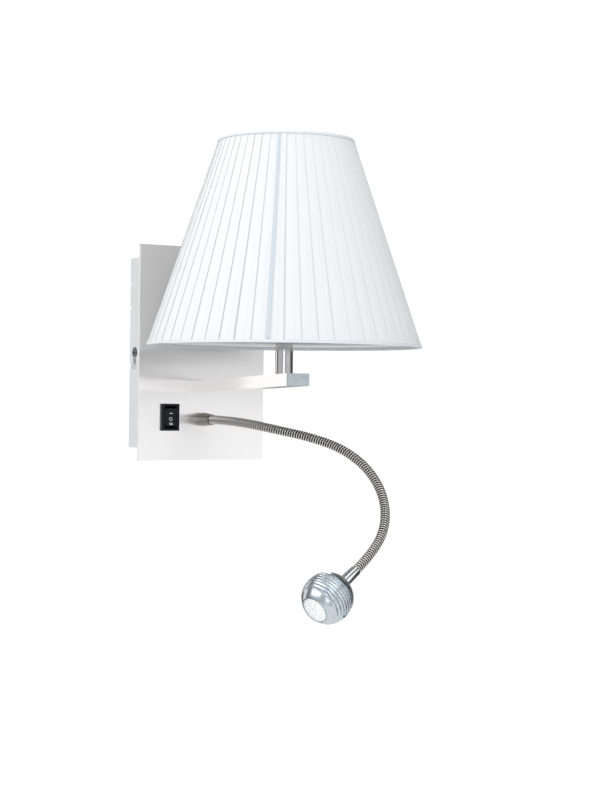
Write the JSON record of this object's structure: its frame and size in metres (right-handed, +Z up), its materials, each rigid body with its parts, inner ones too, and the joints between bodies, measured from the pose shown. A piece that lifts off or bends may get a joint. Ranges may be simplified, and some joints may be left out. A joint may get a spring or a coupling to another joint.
{
  "type": "wall lamp with pleated shade and gooseneck reading light",
  "caption": "Wall-mounted bedside lamp with a pleated cone shade on a short arm, a rocker switch, and an LED reading head on a bendable gooseneck.",
  "frame": {"origin": "centre of the wall bracket's rear face, on the wall plane", "axes": "+Z up, -Y out of the wall into the room, +X to the right seen from the room"},
  "size_m": [0.2, 0.256, 0.3425],
  "materials": {
    "brushed_nickel": "satin nickel, brushed along the plate's height",
    "satin_box": "satin nickel plate on folded sheet",
    "polished_nickel": "polished nickel",
    "hose_steel": "wound steel hose, satin nickel plated",
    "head_aluminium": "turned and polished aluminium",
    "zinc_steel": "bright zinc plated",
    "brass_parts": "plain brass",
    "switch_black": "black, semi gloss",
    "white_plastic": "white moulded thermoplastic",
    "bulb_white": "smooth white",
    "bulb_opal": "opal diffuser",
    "white_wire": "white coated steel wire",
    "liner_film": "white translucent lampshade film",
    "pleat_cloth": "white pleated organza over a lining",
    "wire_white": "white cable insulation",
    "foam_pad": "double-sided foam pad",
    "led_plate": "aluminium circuit board, white mask",
    "led_yellow": "phosphor under clear silicone",
    "cup_bright": "bright metallised cup",
    "clear_lens": "clear polished acrylic",
    "screw_dark": "black oxide"
  },
  "bodies": {
    "root": {"wall_bracket": "zinc_steel", "bracket_nuts": "zinc_steel", "side_screws": "zinc_steel", "earth_screw": "brass_parts", "back_box": "satin_box", "front_plate": "brushed_nickel", "plate_studs": "zinc_steel", "plate_nuts": "zinc_steel", "arm_tube": "brushed_nickel", "arm_end_cap": "brushed_nickel", "arm_foot": "zinc_steel", "arm_screws": "zinc_steel", "stem_nipple": "brass_parts", "stem_nut": "brass_parts", "stem_tube": "polished_nickel", "holder_cap": "white_plastic", "holder_barrel": "white_plastic", "holder_contacts": "brass_parts", "shade_nuts": "white_plastic", "shade_frame": "white_wire", "shade_bottom_ring": "white_wire", "shade_liner": "liner_film", "shade_fabric": "pleat_cloth", "bulb_cap": "polished_nickel", "bulb_body": "bulb_white", "bulb_globe": "bulb_opal", "switch_housing": "switch_black", "switch_terminals": "brass_parts", "driver_case": "white_plastic", "driver_pad": "foam_pad", "terminal_block": "white_plastic", "terminal_screws": "zinc_steel", "lead_lamp": "wire_white", "lead_neck": "wire_white", "lead_switch": "wire_white", "neck_collar": "polished_nickel", "neck_washer": "zinc_steel", "neck_nut": "zinc_steel", "neck_seg_0": "hose_steel"},
    "neck_1": {"neck_seg_1": "hose_steel"},
    "neck_2": {"neck_seg_2": "hose_steel"},
    "neck_3": {"neck_seg_3": "hose_steel"},
    "neck_4": {"neck_seg_4": "hose_steel"},
    "neck_5": {"neck_seg_5": "hose_steel"},
    "neck_6": {"neck_seg_6": "hose_steel"},
    "neck_7": {"neck_seg_7": "hose_steel"},
    "head": {"neck_seg_8": "hose_steel", "neck_sleeve": "polished_nickel", "head_shell": "head_aluminium", "head_screw": "screw_dark", "led_board": "led_plate", "led_chip": "led_yellow", "head_reflector": "cup_bright", "head_lens": "clear_lens"},
    "rocker": {"switch_rocker": "switch_black"}
  },
  "joints": [
    {"name": "neck_bend_1", "type": "hinge", "parent": "root", "child": "neck_1", "pos_m": [0.00436, -0.07052, -0.05247], "axis": [0.0109, -0.0686, 0.9976], "range_deg": [-35, 35]},
    {"name": "neck_bend_2", "type": "hinge", "parent": "neck_1", "child": "neck_2", "pos_m": [0.01569, -0.09584, -0.0558], "axis": [-0.8664, -0.4982, -0.0358], "range_deg": [-35, 35]},
    {"name": "neck_bend_3", "type": "hinge", "parent": "neck_2", "child": "neck_3", "pos_m": [0.03062, -0.119, -0.06069], "axis": [0.0625, -0.1777, 0.9821], "range_deg": [-35, 35]},
    {"name": "neck_bend_4", "type": "hinge", "parent": "neck_3", "child": "neck_4", "pos_m": [0.04603, -0.14143, -0.06722], "axis": [0.839, 0.5424, 0.0429], "range_deg": [-35, 35]},
    {"name": "neck_bend_5", "type": "hinge", "parent": "neck_4", "child": "neck_5", "pos_m": [0.05856, -0.16346, -0.07886], "axis": [-0.2451, 0.4813, -0.8416], "range_deg": [-35, 35]},
    {"name": "neck_bend_6", "type": "hinge", "parent": "neck_5", "child": "neck_6", "pos_m": [0.06425, -0.18377, -0.09701], "axis": [-0.9512, -0.2553, 0.1736], "range_deg": [-35, 35]},
    {"name": "neck_bend_7", "type": "hinge", "parent": "neck_6", "child": "neck_7", "pos_m": [0.05979, -0.20067, -0.1186], "axis": [0.2637, -0.8546, 0.4474], "range_deg": [-35, 35]},
    {"name": "neck_bend_8", "type": "hinge", "parent": "neck_7", "child": "head", "pos_m": [0.04443, -0.21267, -0.13839], "axis": [0.6754, -0.1275, -0.7263], "range_deg": [-35, 35]},
    {"name": "switch_tilt", "type": "hinge", "parent": "root", "child": "rocker", "pos_m": [-0.0284, -0.027, -0.05], "axis": [1, 0, 0], "range_deg": [-10, 10]}
  ]
}
